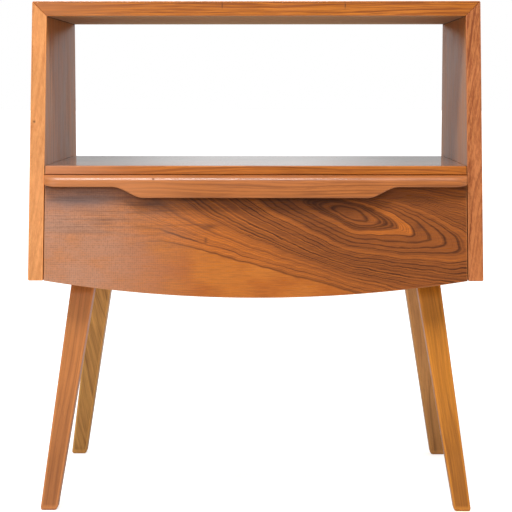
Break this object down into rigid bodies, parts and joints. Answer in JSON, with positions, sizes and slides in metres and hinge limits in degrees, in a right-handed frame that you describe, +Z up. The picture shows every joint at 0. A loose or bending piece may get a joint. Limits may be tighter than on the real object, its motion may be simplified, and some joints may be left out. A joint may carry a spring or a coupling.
{
  "type": "nightstand",
  "caption": "Bedside table with an open compartment over a sliding drawer, slanted front, curved drawer edge and splayed tapered legs.",
  "frame": {"origin": "on the floor, under the middle of the overall box", "axes": "+Z up, +X to the right seen from the front, the drawer opens towards -Y"},
  "size_m": [0.5, 0.3286, 0.566],
  "materials": {
    "case_walnut": "satin lacquered walnut veneer",
    "edge_walnut": "satin lacquered solid walnut",
    "figured_walnut": "satin lacquered figured walnut",
    "leg_walnut": "satin lacquered solid walnut",
    "beech": "planed, waxed",
    "plywood": "sanded, sealed",
    "zinc_steel": "zinc plated"
  },
  "bodies": {
    "case": {"back_panel": "plywood", "bearer_front": "beech", "bearer_rear": "beech", "bearer_screw_front_left": "zinc_steel", "bearer_screw_front_right": "zinc_steel", "bearer_screw_rear_left": "zinc_steel", "bearer_screw_rear_right": "zinc_steel", "bottom_dowel_front_left": "beech", "bottom_dowel_front_right": "beech", "bottom_dowel_rear_left": "beech", "bottom_dowel_rear_right": "beech", "bottom_panel": "plywood", "drawer_stop_left": "beech", "drawer_stop_right": "beech", "leg_dowel_front_left": "beech", "leg_dowel_front_right": "beech", "leg_dowel_rear_left": "beech", "leg_dowel_rear_right": "beech", "leg_front_left": "leg_walnut", "leg_front_right": "leg_walnut", "leg_rear_left": "leg_walnut", "leg_rear_right": "leg_walnut", "leg_screw_front_left": "zinc_steel", "leg_screw_front_right": "zinc_steel", "leg_screw_rear_left": "zinc_steel", "leg_screw_rear_right": "zinc_steel", "mitre_tongue_left": "plywood", "mitre_tongue_right": "plywood", "runner_left": "beech", "runner_right": "beech", "runner_screw_front_left": "zinc_steel", "runner_screw_front_right": "zinc_steel", "runner_screw_rear_left": "zinc_steel", "runner_screw_rear_right": "zinc_steel", "shelf": "case_walnut", "shelf_dowel_front_left": "beech", "shelf_dowel_front_right": "beech", "shelf_dowel_rear_left": "beech", "shelf_dowel_rear_right": "beech", "shelf_lipping": "edge_walnut", "side_lipping_left": "edge_walnut", "side_lipping_right": "edge_walnut", "side_panel_left": "case_walnut", "side_panel_right": "case_walnut", "top_lipping": "edge_walnut", "top_panel": "case_walnut"},
    "drawer": {"drawer_back": "beech", "drawer_bottom": "plywood", "drawer_front": "figured_walnut", "drawer_front_dowel_high_left": "beech", "drawer_front_dowel_high_right": "beech", "drawer_front_dowel_low_left": "beech", "drawer_front_dowel_low_right": "beech", "drawer_pull": "edge_walnut", "drawer_side_left": "beech", "drawer_side_right": "beech", "pull_screw_left": "zinc_steel", "pull_screw_right": "zinc_steel"}
  },
  "joints": [
    {"name": "drawer_slide", "type": "slide", "parent": "case", "child": "drawer", "axis": [0, -1, 0], "range_m": [0, 0.19]}
  ]
}
